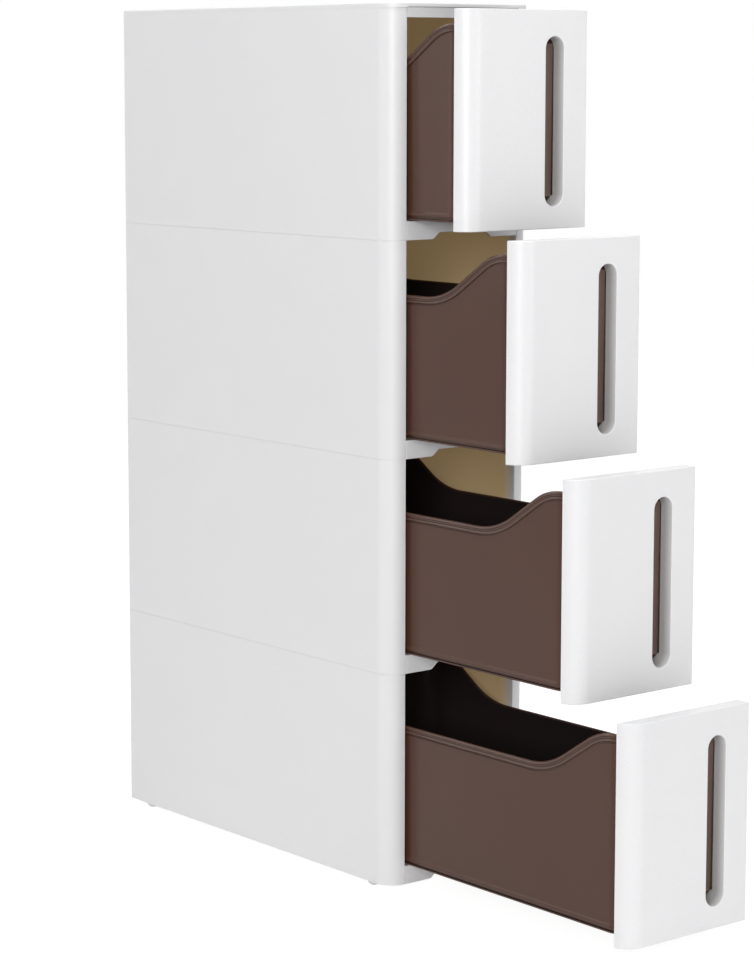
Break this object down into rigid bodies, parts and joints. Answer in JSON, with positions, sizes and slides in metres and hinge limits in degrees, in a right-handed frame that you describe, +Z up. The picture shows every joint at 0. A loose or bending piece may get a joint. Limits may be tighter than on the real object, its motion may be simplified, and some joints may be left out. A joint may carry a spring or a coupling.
{
  "type": "rolling drawer cart",
  "caption": "Slim rolling storage cart: a stacked white cabinet on small wheels with open brown drawers that pull out by a finger slot in each front.",
  "frame": {"origin": "on the floor under the middle of the cabinet's footprint", "axes": "+X to the right as seen from the front, +Y to the rear, +Z up"},
  "size_m": [0.18, 0.7515, 0.8533],
  "materials": {
    "white_shell": "satin moulded",
    "white_front": "satin moulded",
    "brown_tub": "semi-gloss moulded",
    "white_wheel": "satin moulded"
  },
  "bodies": {
    "cabinet": {"side_left_1": "white_shell", "side_right_1": "white_shell", "back_panel_1": "white_shell", "floor_tray_1": "white_shell", "side_left_2": "white_shell", "side_right_2": "white_shell", "back_panel_2": "white_shell", "floor_tray_2": "white_shell", "side_left_3": "white_shell", "side_right_3": "white_shell", "back_panel_3": "white_shell", "floor_tray_3": "white_shell", "side_left_4": "white_shell", "side_right_4": "white_shell", "back_panel_4": "white_shell", "base_tray": "white_shell", "top_cover": "white_shell"},
    "drawer_1": {"drawer_tub_1": "brown_tub", "drawer_front_1": "white_front"},
    "drawer_2": {"drawer_tub_2": "brown_tub", "drawer_front_2": "white_front"},
    "drawer_3": {"drawer_tub_3": "brown_tub", "drawer_front_3": "white_front"},
    "drawer_4": {"drawer_tub_4": "brown_tub", "drawer_front_4": "white_front"},
    "wheel_front_left": {"wheel_front_left": "white_wheel"},
    "wheel_front_right": {"wheel_front_right": "white_wheel"},
    "wheel_rear_left": {"wheel_rear_left": "white_wheel"},
    "wheel_rear_right": {"wheel_rear_right": "white_wheel"}
  },
  "joints": [
    {"name": "drawer_1_slide", "type": "slide", "parent": "cabinet", "child": "drawer_1", "axis": [0, -1, 0], "range_m": [-0.07394, 0.26996]},
    {"name": "drawer_2_slide", "type": "slide", "parent": "cabinet", "child": "drawer_2", "axis": [0, -1, 0], "range_m": [-0.14788, 0.19602]},
    {"name": "drawer_3_slide", "type": "slide", "parent": "cabinet", "child": "drawer_3", "axis": [0, -1, 0], "range_m": [-0.22353, 0.12036]},
    {"name": "drawer_4_slide", "type": "slide", "parent": "cabinet", "child": "drawer_4", "axis": [0, -1, 0], "range_m": [-0.29541, 0.04849]},
    {"name": "wheel_front_left_spin", "type": "hinge", "parent": "cabinet", "child": "wheel_front_left", "pos_m": [-0.0812, -0.188, 0.01], "axis": [1, 0, 0], "continuous": true},
    {"name": "wheel_front_right_spin", "type": "hinge", "parent": "cabinet", "child": "wheel_front_right", "pos_m": [0.0812, -0.188, 0.01], "axis": [1, 0, 0], "continuous": true},
    {"name": "wheel_rear_left_spin", "type": "hinge", "parent": "cabinet", "child": "wheel_rear_left", "pos_m": [-0.0812, 0.188, 0.01], "axis": [1, 0, 0], "continuous": true},
    {"name": "wheel_rear_right_spin", "type": "hinge", "parent": "cabinet", "child": "wheel_rear_right", "pos_m": [0.0812, 0.188, 0.01], "axis": [1, 0, 0], "continuous": true}
  ]
}
